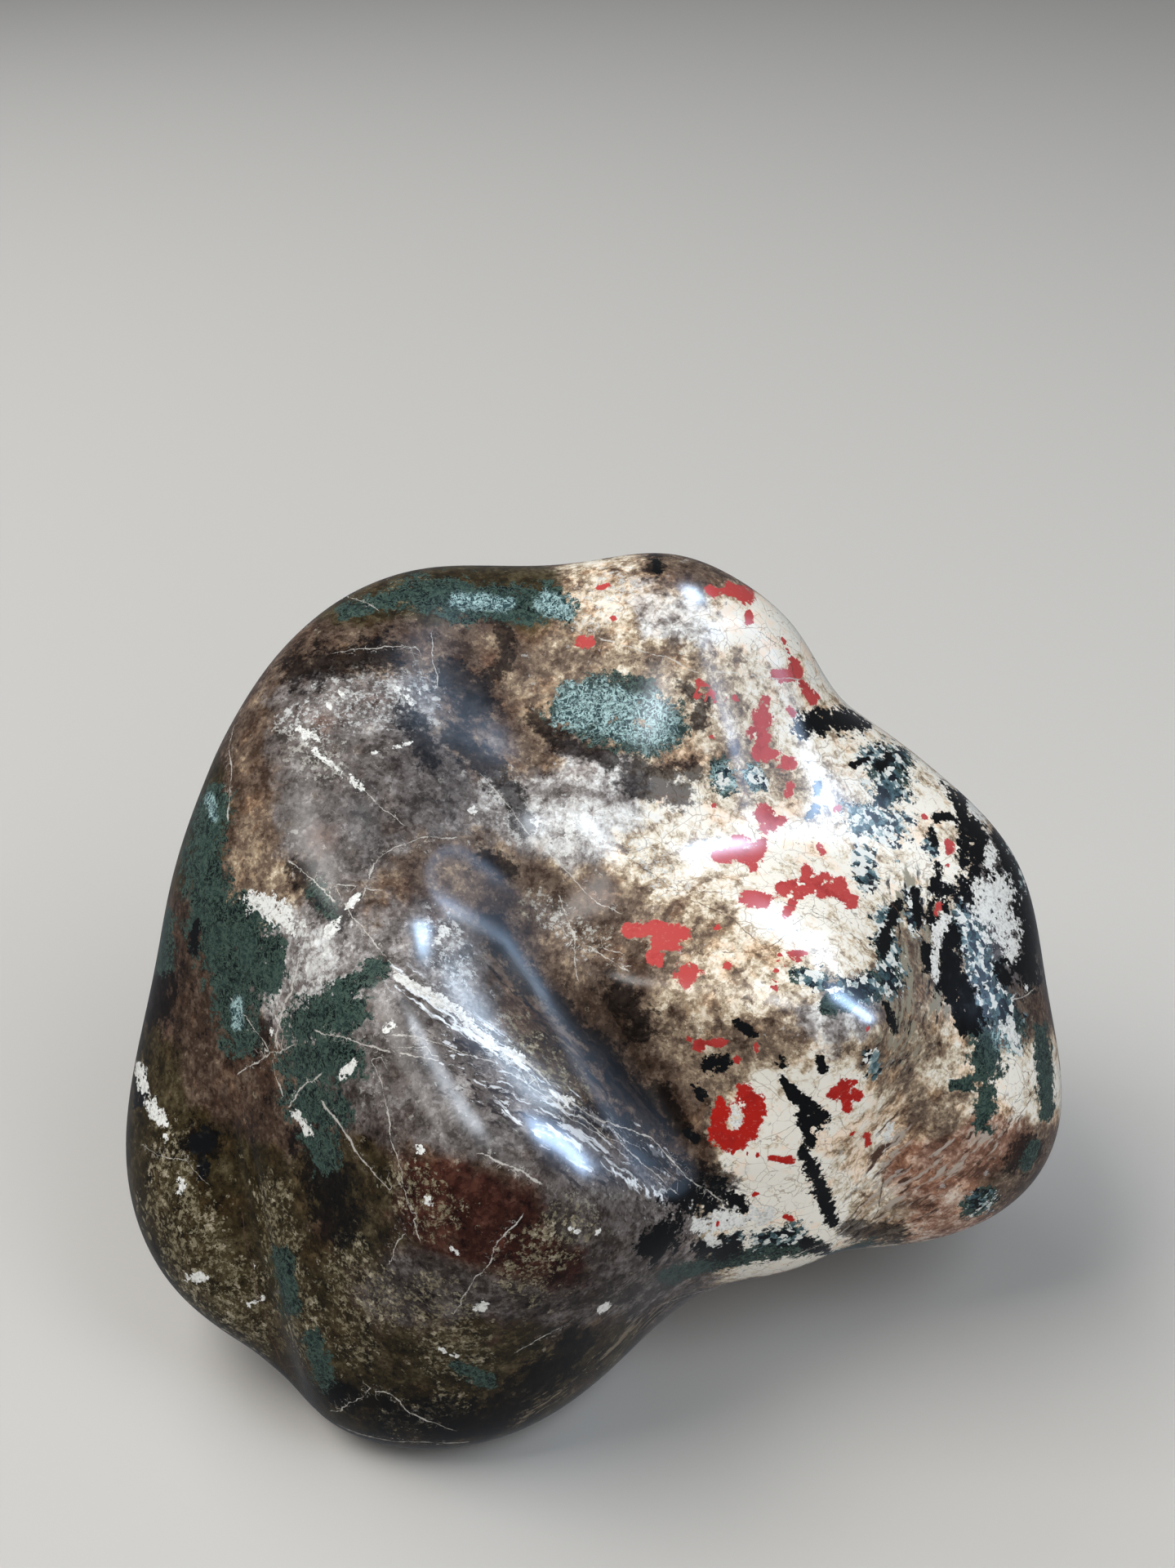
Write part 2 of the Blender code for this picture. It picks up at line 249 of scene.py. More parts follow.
# Dark stains, and painted shade in the furrow, under the front foot and on the left; the ground shows through
STAINS_AND_SHADE = [
    (22, [(365, 822), (410, 808), (470, 800)]), (24, [(545, 826), (575, 842), (585, 862)]),
    (11, [(590, 850), (600, 830)]), (12, [(612, 760), (622, 790), (618, 812)]),
    (15, [(500, 880), (520, 905), (524, 925)]), (15, [(556, 902), (592, 930), (622, 968), (645, 1010)]),
    (13, [(596, 1050), (622, 1064)]), (17, [(372, 1068), (392, 1096), (415, 1125)]),
    (14, [(600, 1130), (625, 1170), (650, 1205)]), (12, [(650, 1200), (690, 1240), (730, 1280)]),
    (22, [(600, 1740), (540, 1740), (480, 1735)]), (17, [(735, 1285), (770, 1330), (800, 1375)]),
    (19, [(755, 1215), (780, 1245), (782, 1262)]), (13, [(812, 1335), (825, 1362), (832, 1380)]),
    (10, [(778, 1318), (782, 1342)]), (12, [(668, 898), (700, 915), (760, 935), (800, 948), (850, 945)]),
    (13, [(660, 880), (672, 896)]), (10, [(840, 838), (858, 862), (856, 884)]),
    (12, [(804, 676), (802, 694)]), (16, [(765, 955), (800, 966), (838, 972)]),
    (14, [(405, 1702), (430, 1716)]), (12, [(312, 1284), (322, 1258)]), (20, [(240, 1396), (256, 1404)]),
    (26, [(385, 1400), (400, 1450), (412, 1500)]), (24, [(700, 1650), (650, 1700), (600, 1740)]),
    (20, [(840, 1440), (880, 1448)]), (12, [(1040, 1505), (1100, 1510)]),
    (14, [(1240, 1425), (1262, 1400)]), (22, [(195, 1190), (186, 1240)]), (16, [(720, 1365), (765, 1378)]),
    (14, [(776, 1405), (812, 1424)]),
]
# Where the polish is duller: the furrow, its head and a patch on the right
DULL = [
    (36, [(555, 1070), (640, 1130), (700, 1210)]),
    (40, [(700, 1215), (745, 1305), (785, 1372), (822, 1435)]), (50, [(905, 800), (935, 880), (955, 975)]),
]

WHITE = [
    (6, [(366, 1130)]), (6, [(170, 1306), (176, 1330)]), (7, [(185, 1350), (196, 1372)]),
    (5, [(487, 1196), (505, 1207), (520, 1215)]), (6, [(535, 1222), (560, 1240)]),
    (5, [(568, 1246), (580, 1258)]), (4, [(592, 1266), (612, 1286)]), (6, [(618, 1286), (640, 1298)]),
    (6, [(690, 1345), (697, 1350)]), (6, [(537, 1152), (545, 1140)]),
    (3, [(372, 905), (395, 928), (420, 946), (445, 962)]), (5, [(430, 955), (442, 965)]),
    (4, [(365, 892), (390, 905)]), (3, [(414, 846), (424, 860)]), (3, [(432, 850), (436, 866)]),
    (2.5, [(400, 862), (412, 872)]), (3.5, [(494, 846), (506, 862)]), (2.5, [(480, 838), (488, 848)]),
    (2.5, [(508, 842), (514, 852)]), (2.5, [(474, 918), (488, 914), (502, 909)]),
    (2, [(452, 924), (462, 920)]), (5, [(430, 1110), (437, 1096)]), (6, [(412, 1130), (400, 1142)]),
    (8, [(855, 1500), (870, 1504)]), (9, [(880, 1497), (905, 1492)]), (6, [(868, 1517), (875, 1522)]),
    # The white spot at (1089, 1378) to (1087, 1392) is a painted highlight in the right fold
    (9, [(925, 1487), (938, 1490)]), (5, [(1089, 1378), (1087, 1392)]), (4, [(520, 1470), (530, 1472)]),
    (3, [(552, 1530), (560, 1534)]), (6, [(590, 1600)]), (5, [(220, 1446), (222, 1460)]),
    (5, [(232, 1566), (258, 1562)]), (3, [(700, 1505), (710, 1508)]), (4, [(733, 1605), (745, 1596)]),
    (5, [(363, 1366), (378, 1385)]), (5, [(418, 1318), (433, 1305)]), (7, [(700, 1004), (694, 1040)]),
    (12, [(905, 1371)]), (8, [(945, 1130), (960, 1128)]), (3, [(300, 1600), (322, 1590)]),
    (5, [(480, 1255), (472, 1262)]), (20, [(1217, 1088), (1216, 1114)]), (17, [(1208, 1120), (1228, 1140)]),
    (9, [(1236, 1150), (1238, 1168)]), (6, [(1191, 984), (1203, 1002)]), (7, [(1210, 1040), (1212, 1056)]),
    (7, [(1158, 1122), (1150, 1135)]), (5, [(1149, 1142), (1145, 1166), (1145, 1195)]),
    (8, [(1234, 1262), (1241, 1272)]), (13, [(314, 1104), (334, 1112), (354, 1126)]),
]
WHITE_DOTS = [
    (203, 1392, 4), (1228, 1092, 5), (1239, 1172, 4), (1146, 1200, 4), (1257, 1210, 5),
    (541, 1652, 4), (557, 1660, 4), (515, 1408, 5), (312, 1550, 3), (733, 1508, 4),
    (578, 992, 5), (333, 1264, 4),
]

# Where black, teal and white grains lie side by side
MOSAIC = [
    (22, [(1085, 938), (1090, 962)]), (14, [(1066, 924), (1104, 930)]), (10, [(1084, 980)]),
    (22, [(1056, 1004), (1088, 1012)]), (13, [(1058, 1046), (1062, 1078)]),
    (8, [(1140, 1030), (1142, 1044)]), (15, [(1184, 1112), (1192, 1150), (1204, 1200)]),
    (15, [(1200, 1236), (1222, 1222), (1234, 1244)]), (16, [(1040, 1216), (1066, 1206)]),
    (13, [(1083, 1122), (1082, 1148)]), (15, [(1086, 1170), (1092, 1205)]),
    (9, [(1118, 1096), (1122, 1136)]), (10, [(1236, 1268), (1243, 1280)]),
    (11, [(1236, 1040), (1247, 1086)]), (10, [(930, 1520), (975, 1508)]), (9, [(905, 1512), (880, 1530)]),
    (10, [(985, 1196), (1003, 1202)]), (9, [(1065, 1290), (1072, 1310)]),
    (12, [(1194, 1472), (1206, 1466)]), (8, [(884, 948), (888, 960)]), (9, [(926, 950), (930, 960)]),
]

# Where the ground is sprinkled with pale specks
SPECKLE = [
    (46, [(420, 855), (500, 855)]), (34, [(368, 885), (392, 925)]), (34, [(385, 1160), (380, 1200)]),
    (30, [(540, 1140), (560, 1190)]), (34, [(620, 1270), (700, 1340)]), (30, [(690, 1000), (740, 1030)]),
    (26, [(610, 960), (640, 1010)]), (38, [(235, 1560), (215, 1470)]), (50, [(560, 1650), (530, 1600)]),
    (36, [(500, 1450), (540, 1490)]), (40, [(700, 1500), (640, 1560)]), (34, [(430, 1540), (470, 1600)]),
    (30, [(380, 1640), (350, 1560)]), (24, [(300, 1560), (320, 1620)]), (24, [(490, 730), (560, 735)]),
    (26, [(660, 1110), (720, 1150)]), (24, [(820, 1080), (780, 1040)]), (20, [(560, 1720), (480, 1740)]),
    (30, [(760, 720), (720, 745)]), (30, [(215, 1400), (200, 1480)]), (34, [(262, 1590), (300, 1650)]),
    (28, [(335, 1460), (345, 1530)]), (24, [(250, 1500), (290, 1560)]), (30, [(440, 1650), (420, 1560)]),
]

# Pale fibres in the teal moss: where they are light and dense
PALE_MOSS = [
    (34, [(705, 862), (800, 884)]), (22, [(600, 985), (620, 1000)]), (16, [(1240, 1280), (1230, 1270)]),
    (18, [(885, 950), (925, 950)]), (22, [(1070, 1005), (1060, 1060)]), (16, [(690, 745), (670, 740)]),
    (10, [(560, 735), (620, 740)]), (6, [(256, 975), (262, 1000)]), (7, [(290, 1225), (290, 1255)]),
]

# Where the stone is streaked along one direction, from the first point of a zone's first line to its last
STREAKS = {
    # The crest's light streaks and lines are partly a painted sheen of the glow along the crest
    "crest_streaks_and_sheen": [
        (17, [(487, 1196), (530, 1225), (580, 1262), (640, 1304), (690, 1340)]),
        (9, [(690, 1340), (740, 1372), (800, 1412), (850, 1450)]),
        (9, [(598, 1352), (634, 1374)]),
        (10, [(676, 1384), (716, 1408)]),
        (8, [(752, 1436), (812, 1466)]),
    ],
    "crest_lines_and_sheen": [(50, [(560, 1290), (640, 1350), (720, 1400), (800, 1440), (860, 1475)])],
    "groove_streaks": [(26, [(620, 1180), (680, 1250), (740, 1310), (800, 1370)])],
    "band_streaks": [(30, [(1112, 1090), (1108, 1180), (1104, 1280)]), (24, [(1140, 1110), (1150, 1230)])],
    "fold_streaks": [(44, [(1210, 1385), (1150, 1430), (1090, 1480)]), (26, [(1060, 1500), (1100, 1380)])],
    "hem_streaks": [(14, [(860, 1586), (780, 1625), (700, 1685), (640, 1735)])],
}

# White veins and two painted bottom-edge highlights: (half width in millimetres, points of the photograph)
VEINS_AND_EDGE_GLINTS = [
    (0.16, [(433, 1115), (455, 1150), (472, 1175), (487, 1194)]),
    (0.26, [
        (487, 1194), (520, 1215), (560, 1240), (590, 1268), (640, 1298), (690, 1345), (735, 1372),
        (800, 1396),
    ]),
    (0.18, [(800, 1396), (850, 1448), (885, 1475)]),
    (0.16, [(396, 1262), (440, 1272), (470, 1285), (523, 1296)]),
    (0.14, [
        (440, 1272), (500, 1268), (560, 1285), (600, 1298), (640, 1325), (700, 1370), (760, 1405),
        (820, 1455),
    ]),
    (0.13, [(459, 1312), (465, 1345), (478, 1380), (488, 1420), (494, 1460), (500, 1480), (506, 1505)]),
    (0.32, [(402, 1358), (420, 1385), (440, 1415), (453, 1430)]), (0.12, [(453, 1430), (469, 1452)]),
    (0.22, [(356, 1349), (366, 1331), (385, 1319)]),
    (0.13, [(443, 1088), (452, 1062), (470, 1045), (500, 1033), (545, 1027)]),
    (0.22, [(340, 1270), (350, 1240), (358, 1215), (362, 1190)]),
    (0.16, [(300, 1312), (330, 1292), (352, 1282)]),
    (0.16, [(748, 782), (780, 797), (838, 815), (870, 822), (936, 829), (1000, 834)]),
    (0.11, [(760, 790), (850, 822), (930, 832)]),
    (0.11, [(595, 960), (640, 1020), (680, 1050), (720, 1090), (750, 1110)]),
    (0.12, [(690, 1110), (700, 1150), (706, 1186)]),
    (0.16, [(722, 1160), (742, 1172), (758, 1180), (762, 1170), (742, 1162)]),
    # A painted highlight along the bottom edge of the front foot
    (0.22, [(425, 1750), (450, 1758), (500, 1764), (560, 1766)]),
    (0.16, [(455, 1701), (480, 1706), (500, 1728), (530, 1742), (546, 1748)]),
    (0.12, [(455, 1701), (430, 1715), (408, 1724)]),
    (0.14, [(630, 1500), (610, 1520), (600, 1550), (575, 1575), (560, 1600)]),
    (0.11, [(505, 1490), (482, 1518), (478, 1536)]), (0.24, [(600, 1420), (625, 1430), (650, 1441)]),
    (0.18, [(276, 895), (279, 940), (280, 990)]), (0.12, [(400, 1085), (425, 1080), (452, 1085)]),
    (0.13, [(365, 1060), (385, 1075), (402, 1092)]), (0.16, [(1243, 1226), (1255, 1218), (1263, 1212)]),
    (0.14, [(530, 785), (532, 830)]), (0.10, [(500, 792), (420, 798)]),
    (0.10, [(180, 1405), (230, 1420), (245, 1440)]), (0.16, [(1085, 1402), (1078, 1430), (1060, 1450)]),
    (0.12, [(640, 1650), (660, 1640), (690, 1625)]),
    # A painted highlight along the bottom edge of the right lobe
    (0.14, [(820, 1592), (870, 1579), (930, 1568), (1000, 1550), (1050, 1541)]),
    (0.16, [(445, 700), (430, 730)]), (0.12, [(290, 1235), (330, 1290), (345, 1330)]),
    (0.10, [(350, 895), (401, 930), (442, 962), (484, 1000)]),
]

# Thin brown cracks in the pale ground
CRACKS = [
    (0.12, [(975, 1112), (1010, 1125), (1040, 1145), (1066, 1166)]),
    (0.10, [(990, 1115), (960, 1150), (940, 1160), (900, 1162)]), (0.16, [(1070, 1086), (1095, 1110)]),
    (0.22, [(1082, 1445), (1072, 1480), (1052, 1512)]), (0.12, [(1215, 1390), (1240, 1350), (1262, 1320)]),
    (0.10, [(1225, 1385), (1262, 1345)]), (0.12, [(850, 1100), (900, 1125), (930, 1160)]),
    (0.10, [(780, 1060), (830, 1085), (880, 1090)]), (0.12, [(940, 780), (965, 800), (975, 830)]),
    (0.22, [(298, 1500), (310, 1560), (326, 1612), (346, 1672), (354, 1700)]),
]

# Each streaked zone: its light and dark colours, the noise at which the light begins and is full, how many
# features there are to a millimetre, and how far they are drawn out
STREAK_LOOKS = [
    ("groove_streaks", (0.120, 0.085, 0.060), (0.006, 0.004, 0.004), 0.16, 0.34, 0.7, 0.88),
    # The crest's bluish and grey light colours are partly a painted sheen along the crest
    ("crest_lines_and_sheen", (0.62, 0.64, 0.66), (0.030, 0.023, 0.024), 0.30, 0.42, 1.2, 0.93),
    ("crest_streaks_and_sheen", (0.84, 0.88, 0.92), (0.060, 0.052, 0.052), 0.10, 0.30, 1.0, 0.90),
    ("band_streaks", (0.30, 0.27, 0.20), (0.012, 0.012, 0.011), 0.10, 0.30, 0.8, 0.84),
    ("fold_streaks", (0.44, 0.37, 0.31), (0.075, 0.038, 0.026), 0.20, 0.42, 0.8, 0.84),
    ("hem_streaks", (0.20, 0.16, 0.11), (0.020, 0.014, 0.009), 0.14, 0.40, 0.8, 0.86),
]

MARKS = {
    "red": RED, "teal": TEAL, "black": BLACK, "white": WHITE, "pale_moss": PALE_MOSS, "mosaic": MOSAIC,
    "speckle": SPECKLE, "shade": STAINS_AND_SHADE, "dull": DULL,
}

# Marks scattered over the hidden sides, in the order of the random draws: (name, side, how many, smallest and
# largest radius, shortest and longest line), in millimetres
SCATTER = [
    ("red", "pale", 42, (0.9, 1.8), (0.5, 5)),
    ("teal", "any", 22, (1.6, 4.2), (6, 22)),
    ("black", "any", 26, (0.9, 2.6), (4, 16)),
    ("white", "dark", 26, (0.9, 1.5), (1, 8)),
    ("pale_moss", "any", 12, (3, 6), (4, 10)),
    ("mosaic", "pale", 9, (2, 4), (6, 18)),
    ("speckle", "any", 18, (3, 6), (4, 14)),
    ("shade", "any", 30, (1.6, 3.4), (5, 18)),
    ("vein_and_glint", "any", 30, (0.08, 0.24), (18, 50)),
    ("crack", "pale", 12, (0.1, 0.2), (12, 30)),
]

# Each ground family's colours at these tones, from dark to pale
TONES = (0.00, 0.22, 0.42, 0.58, 0.72, 0.88)
GROUND_COLOURS = {
    "warm": [
        (0.010, 0.005, 0.003), (0.056, 0.033, 0.021), (0.160, 0.112, 0.080),
        (0.380, 0.285, 0.190), (0.740, 0.640, 0.490), (0.920, 0.880, 0.790),
    ],
    "cool": [
        (0.010, 0.006, 0.005), (0.052, 0.041, 0.036), (0.160, 0.140, 0.132),
        (0.330, 0.305, 0.295), (0.600, 0.590, 0.570), (0.850, 0.860, 0.850),
    ],
    "olive": [
        (0.006, 0.004, 0.001), (0.033, 0.023, 0.008), (0.092, 0.072, 0.037),
        (0.190, 0.165, 0.110), (0.380, 0.355, 0.280), (0.620, 0.590, 0.500),
    ],
    "maroon": [
        (0.008, 0.002, 0.001), (0.034, 0.010, 0.006), (0.085, 0.032, 0.020),
        (0.160, 0.090, 0.065), (0.350, 0.270, 0.220), (0.640, 0.560, 0.480),
    ],
    "pink": [
        (0.030, 0.014, 0.009), (0.090, 0.045, 0.030), (0.190, 0.095, 0.062),
        (0.340, 0.190, 0.130), (0.560, 0.400, 0.310), (0.760, 0.660, 0.560),
    ],
}

MOSAIC_TONES = (0.00, 0.34, 0.42, 0.58, 0.70, 0.80)
MOSAIC_COLOURS = [
    (0.003, 0.004, 0.005), (0.005, 0.008, 0.010), (0.020, 0.042, 0.050),
    (0.075, 0.140, 0.160), (0.220, 0.310, 0.320), (0.760, 0.770, 0.730),
]

# Colours of the marks. The first four are multiplied with the ground under them.
RUST = (1.12, 0.86, 0.68)
PIT = (0.30, 0.27, 0.24)
WEB = (0.40, 0.31, 0.24)
# The tint of the dark stains and of the painted shade
STAIN_AND_SHADE = (0.17, 0.16, 0.16)
THREAD = (0.27, 0.235, 0.150)
FROSTED_THREAD = (0.62, 0.63, 0.62)
WORN_BIT = (0.20, 0.165, 0.100)
BIT = (0.50, 0.45, 0.34)
FROSTED_BIT = (0.60, 0.60, 0.58)
MOSS_SHADE = (0.004, 0.008, 0.008)
MOSS_GROUND = (0.022, 0.042, 0.037)
PALE_MOSS_GROUND = (0.035, 0.080, 0.090)
MOSS_STRAND = (0.060, 0.098, 0.078)
PALE_MOSS_STRAND = (0.42, 0.60, 0.60)
JET = (0.0040, 0.0042, 0.0045)
WORN_JET = (0.020, 0.020, 0.019)
# Quartz white, also used for the painted highlight in the right fold
QUARTZ_AND_GLINT = (0.82, 0.82, 0.79)
GREY_QUARTZ = (0.50, 0.49, 0.46)
RED_RIM = (0.70, 0.58, 0.42)
SCARLET = (0.46, 0.012, 0.006)
CORAL = (0.50, 0.060, 0.055)
DARK_RED = (0.26, 0.010, 0.008)
PALE_RED = (0.62, 0.22, 0.18)
CRACK_BROWN = (0.085, 0.050, 0.032)
VEIN_AND_GLINT_WHITE = (0.60, 0.57, 0.52)

# The heights between which scarlet turns to coral, in millimetres
CORAL_HEIGHTS = (62, 78)

# The polish
ROUGHNESS = 0.22
DULL_ROUGHNESS = 0.58
BLACK_ROUGHNESS = -0.12
UNEVEN_ROUGHNESS = 0.05
STONE_IOR = 1.5
STONE_SPECULAR = 0.3

# The studio
FLOOR_REACH = 6.0
FLOOR_COLOUR = (0.56, 0.545, 0.52)
FLOOR_ROUGHNESS = 0.8
AIR_COLOUR = (0.80, 0.86, 0.95)
AIR_STRENGTH = 0.16

# Rectangular lamps, in metres and watts: (name, place, what it points at, size, power, tint, whether it is
# mirrored). A mirrored one only shines back from the polish, and the others only light the stone.
LAMPS = [
    ("key", (-0.9, -0.1, 1.5), MIDDLE, (1.1, 1.1), 23.0, (1.0, 0.98, 0.95), False),
    ("back_left", (-0.7, 0.9, 1.3), MIDDLE, (0.8, 0.8), 7.0, (0.94, 0.97, 1.0), False),
    ("front_fill", (0.5, -1.3, 0.6), MIDDLE, (0.8, 0.8), 4.5, (1.0, 0.98, 0.95), False),
    ("right_fill", (0.63, -0.44, 0.92), MIDDLE, (0.5, 0.8), 5.0, (0.85, 0.92, 1.0), False),
    ("window", (1.070, -0.056, 0.704), MIDDLE, (0.20, 0.95), 46.0, (0.48, 0.68, 1.0), True),
    ("skylight", (0.442, 0.442, 1.143), MIDDLE, (0.20, 0.20), 12.0, (0.50, 0.72, 1.0), True),
    ("gleam", (0.122, 0.024, 0.206), (-0.009, -0.045, 0.071), (0.04, 0.06), 0.17, (0.60, 0.78, 1.0), True),
    ("pane", (0.0, -0.587, 1.164), MIDDLE, (0.25, 0.25), 6.0, (0.80, 0.90, 1.0), True),
    ("cloud", (-0.57, -0.475, 1.0), MIDDLE, (0.5, 0.3), 5.0, (1.0, 0.99, 0.97), True),
]


def camera_axes():
    """The camera's right, up and forward directions, with its clockwise roll."""
    forward = Vector((0, math.cos(CAMERA_PITCH), -math.sin(CAMERA_PITCH)))
    level = Vector((1, 0, 0))
    above = level.cross(forward)
    right = math.cos(CAMERA_ROLL) * level - math.sin(CAMERA_ROLL) * above
    up = math.cos(CAMERA_ROLL) * above + math.sin(CAMERA_ROLL) * level
    return right, up, forward


def pixel_ray(px, py):
    """The direction from the camera through a point of the photograph."""
    right, up, forward = camera_axes()
    across = (px - PHOTO_WIDTH / 2) / FOCAL_PIXELS
    down = (py - PHOTO_HEIGHT / 2) / FOCAL_PIXELS
    return (forward + across * right - down * up).normalized()


def pixels_of(points):
    """Where points of the scene, in millimetres, fall in the photograph."""
    axes = np.array([list(axis) for axis in camera_axes()])
    across, up, away = axes @ (points - np.array(CAMERA_PLACE) / MM).T
    px = PHOTO_WIDTH / 2 + FOCAL_PIXELS * across / away
    py = PHOTO_HEIGHT / 2 - FOCAL_PIXELS * up / away
    return np.stack([px, py], 1)


class Skin:
    """The fine mesh of the stone, with what is needed to place marks on it."""

    def __init__(self, node):
        fine = rounded_mesh(node)
        self.object = bpy.data.objects.new("polished_stone", fine)
        bpy.context.scene.collection.objects.link(self.object)
        count = len(fine.vertices)
        flat = np.empty(count * 3)
        fine.vertices.foreach_get("co", flat)
        self.points = flat.reshape(-1, 3) / MM
        fine.vertex_normals.foreach_get("vector", flat)
        self.normals = flat.reshape(-1, 3).copy()
        self.tree = BVHTree.FromObject(self.object, bpy.context.evaluated_depsgraph_get())
        self.pixels = pixels_of(self.points)
        towards = np.array(CAMERA_PLACE) / MM - self.points
        self.facing = np.einsum("ij,ij->i", self.normals, towards) / np.linalg.norm(towards, axis=1)
        share = np.clip(self.facing / SEEN_FACING, 0, 1)
        self.seen = share * share * (3 - 2 * share)

    def on_stone(self, px, py):
        """Where a point of the photograph falls on the stone, in millimetres."""
        ray = pixel_ray(px, py)
        spot = self.tree.ray_cast(CAMERA_PLACE, ray)[0]
        if spot is None:
            reach = (Vector(MIDDLE) - CAMERA_PLACE).dot(ray)
            spot = self.tree.find_nearest(CAMERA_PLACE + reach * ray)[0]
        return np.array(spot) / MM

    def nearest(self, point):
        """The nearest point of the stone and its normal there."""
        spot, normal = self.tree.find_nearest(Vector(point) * MM)[:2]
        return np.array(spot) / MM, np.array(normal)

    def distances(self, stroke):
        """Each vertex's distance to a stroke. It is measured in the picture where the skin is seen well."""
        solid = line_offsets(self.points, stroke.line)[0]
        if stroke.picture is None:
            return solid
        flat = line_offsets(self.pixels, stroke.picture)[0] / PIXELS_PER_MM
        return np.maximum(self.seen * flat + (1 - self.seen) * solid, LEAST_SHARE * solid)

    def store(self, name, values):
        """Keeps one number or one vector for each vertex, for the shader to read."""
        values = np.asarray(values, np.float32)
        single = values.ndim == 1
        layer = self.object.data.attributes.new(name, "FLOAT" if single else "FLOAT_VECTOR", "POINT")
        layer.data.foreach_set("value" if single else "vector", values.ravel())


class Stroke:
    """A line on the stone with a radius in millimetres, and its line in the picture if it came from there."""

    def __init__(self, radius, line, picture=None):
        self.radius = radius
        self.line = line
        self.picture = picture


def rounded_mesh(node):
    """The stone's own mesh, joined into four-sided faces and rounded smooth."""
    mesh = bmesh.new()
    mesh.from_mesh(node.data)
    bmesh.ops.remove_doubles(mesh, verts=mesh.verts[:], dist=MERGE_METRES)
    bmesh.ops.join_triangles(
        mesh, faces=mesh.faces[:], angle_face_threshold=math.pi, angle_shape_threshold=JOIN_SHAPE_ANGLE
    )
    coarse = bpy.data.meshes.new("polished_stone_coarse")
    mesh.to_mesh(coarse)
    mesh.free()
    holder = bpy.data.objects.new("polished_stone_coarse", coarse)
    bpy.context.scene.collection.objects.link(holder)
    smooth = holder.modifiers.new("smooth", "SUBSURF")
    smooth.levels = smooth.render_levels = SKIN_LEVELS
    graph = bpy.context.evaluated_depsgraph_get()
    fine = bpy.data.meshes.new_from_object(holder.evaluated_get(graph))
    bpy.data.objects.remove(holder)
    fine.shade_smooth()
    return fine


def line_offsets(points, line):
    """Distances from points to a line, the offsets and the directions of the nearest spans."""
    best = np.full(len(points), np.inf)
    offsets = np.zeros_like(points)
    spans = np.zeros_like(points)
    for start, end in zip(line[:-1], line[1:]) if len(line) > 1 else [(line[0], line[0])]:
        span = end - start
        share = np.clip((points - start) @ span / max(span @ span, NO_LENGTH), 0, 1)
        offset = points - (start + share[:, None] * span)
        distance = np.linalg.norm(offset, axis=1)
        nearer = distance < best
        best[nearer] = distance[nearer]
        offsets[nearer] = offset[nearer]
        spans[nearer] = span / max(np.linalg.norm(span), NO_LENGTH)
    return best, offsets, spans


def fine_line(skin, half_width, line):
    """A thin line given in pixels of the photograph, with its half width in millimetres."""
    return Stroke(half_width, np.array([skin.on_stone(*p) for p in line]))


def photo_stroke(skin, radius, line):
    """A stroke given in pixels of the photograph."""
    return Stroke(radius / PIXELS_PER_MM, np.array([skin.on_stone(*p) for p in line]), np.array(line, float))


def wander(skin, rng, start, length, steps=5, bend=0.5):
    """A wandering line over the stone from a start point."""
    spot, normal = skin.nearest(start)
    heading = np.cross(normal, rng.normal(size=3))
    heading /= np.linalg.norm(heading)
    line = [spot]
    for _ in range(steps):
        heading = heading + bend * rng.normal(size=3)
        heading -= normal * (heading @ normal)
        heading /= np.linalg.norm(heading)
        spot, normal = skin.nearest(spot + heading * length / steps)
        line.append(spot)
    return np.array(line)


def hidden_strokes(skin, rng, candidates, count, radii, lengths):
    """Strokes of one mineral scattered over the sides that the photograph doesn't show."""
    starts = skin.points[rng.choice(candidates, count, replace=False)]
    return [Stroke(rng.uniform(*radii), wander(skin, rng, start, rng.uniform(*lengths))) for start in starts]


def scattered_strokes(skin):
    """Every mineral's strokes on the hidden sides, by name."""
    rng = np.random.default_rng(SEED)
    hidden = skin.facing < HIDDEN_FACING
    x, _, z = skin.points.T
    sides = {
        "pale": np.flatnonzero(hidden & (x > PALE_FROM_X) & (z > PALE_FROM_Z)),
        "dark": np.flatnonzero(hidden & (x < DARK_TO_X)),
        "any": np.flatnonzero(hidden),
    }
    return {
        name: hidden_strokes(skin, rng, sides[side], count, radii, lengths)
        for name, side, count, radii, lengths in SCATTER
    }


def paint_strokes(skin, name, strokes):
    """Stores how far inside the nearest stroke each vertex is: 1 on its line, 0 at its edge, less outside."""
    depth = np.full(len(skin.points), FAR_OUTSIDE)
    for stroke in strokes:
        depth = np.maximum(depth, 1 - skin.distances(stroke) / stroke.radius)
    skin.store(name, depth)


def paint_dots(skin, name, dots):
    """Stores the offset from the nearest small dot, the plain distance to it, and its radius."""
    nearest = np.full(len(skin.points), np.inf)
    offset = np.zeros_like(skin.points)
    radius = np.zeros(len(skin.points))
    for dot in dots:
        away = skin.points - dot.line[0]
        distance = np.linalg.norm(away, axis=1)
        nearer = distance < nearest
        nearest[nearer] = distance[nearer]
        offset[nearer] = away[nearer]
        radius[nearer] = dot.radius
    skin.store(name + "_offset", offset)
    skin.store(name + "_distance", np.minimum(nearest, FAR_AWAY_MM))
    skin.store(name + "_radius", radius)


